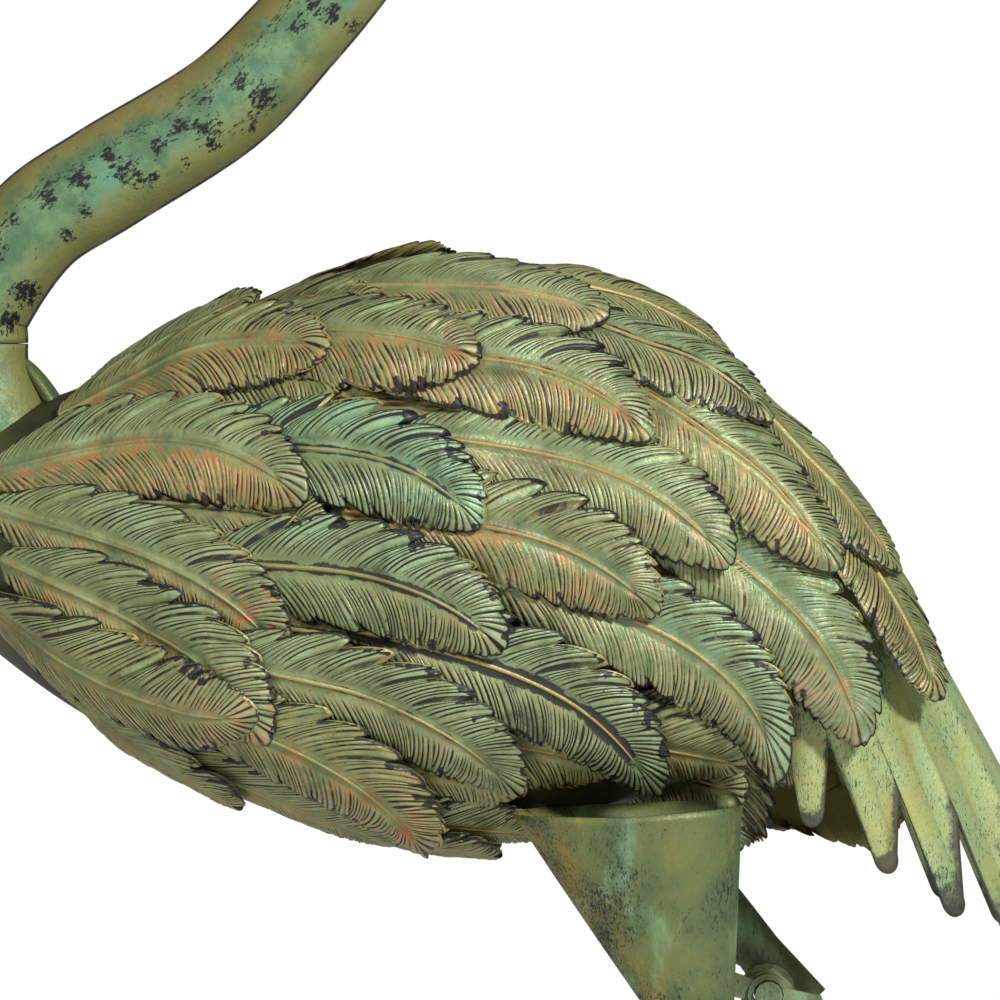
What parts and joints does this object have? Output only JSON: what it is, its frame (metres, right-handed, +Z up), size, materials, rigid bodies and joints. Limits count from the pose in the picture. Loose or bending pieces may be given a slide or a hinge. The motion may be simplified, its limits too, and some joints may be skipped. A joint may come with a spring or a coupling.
{
  "type": "crane garden statue",
  "caption": "Standing crane of patinated sheet metal with an S-curved neck, overlapping stamped feathers, a fingered tail, funnel thighs and bolted tube legs on a low oval base.",
  "frame": {"origin": "centre of the base plate's underside", "axes": "+Z up, the bird faces -X, its near side is -Y"},
  "size_m": [0.4425, 0.2, 0.8967],
  "materials": {
    "feather_patina": "satin green patina over stamped relief, ochre midribs, dark edges and orange-brown vanes",
    "neck_patina": "satin teal-green patina with ochre edges and dabbed black spots",
    "sheet_patina": "satin olive-green patina with dark worn finger tips",
    "thigh_patina": "speckled sage-green patina with black flecks",
    "leg_patina": "satin green patina",
    "hardware": "painted over, worn to dull metal at its corners",
    "base_metal": "satin dark green patina"
  },
  "bodies": {
    "root": {"base_plate": "base_metal", "body_shell": "sheet_patina", "far_back_0": "feather_patina", "far_back_3": "feather_patina", "far_belly_3": "feather_patina", "far_breast_2": "feather_patina", "far_breast_4": "feather_patina", "far_flank_2": "feather_patina", "far_flank_5": "feather_patina", "far_flank_6": "feather_patina", "far_foot": "leg_patina", "far_hex_nut": "hardware", "far_leg": "leg_patina", "far_rump_1": "feather_patina", "far_rump_2": "feather_patina", "far_rump_3": "feather_patina", "far_rump_4": "feather_patina", "far_rump_5": "feather_patina", "far_stud": "hardware", "far_thigh": "thigh_patina", "far_wing_3": "feather_patina", "far_wing_nut": "hardware", "head": "neck_patina", "lower_neck": "neck_patina", "near_back_0": "feather_patina", "near_back_1": "feather_patina", "near_back_2": "feather_patina", "near_back_3": "feather_patina", "near_belly_0": "feather_patina", "near_belly_1": "feather_patina", "near_belly_2": "feather_patina", "near_belly_3": "feather_patina", "near_breast_0": "feather_patina", "near_breast_1": "feather_patina", "near_breast_2": "feather_patina", "near_breast_3": "feather_patina", "near_breast_4": "feather_patina", "near_flank_2": "feather_patina", "near_flank_3": "feather_patina", "near_flank_4": "feather_patina", "near_flank_5": "feather_patina", "near_flank_6": "feather_patina", "near_foot": "leg_patina", "near_hex_nut": "hardware", "near_leg": "leg_patina", "near_rump_1": "feather_patina", "near_rump_2": "feather_patina", "near_rump_3": "feather_patina", "near_rump_4": "feather_patina", "near_rump_5": "feather_patina", "near_stud": "hardware", "near_thigh": "thigh_patina", "near_wing_1": "feather_patina", "near_wing_2": "feather_patina", "near_wing_3": "feather_patina", "near_wing_4": "feather_patina", "near_wing_nut": "hardware", "neck": "neck_patina", "neck_collar": "neck_patina", "tail_fan": "sheet_patina"}
  },
  "joints": []
}
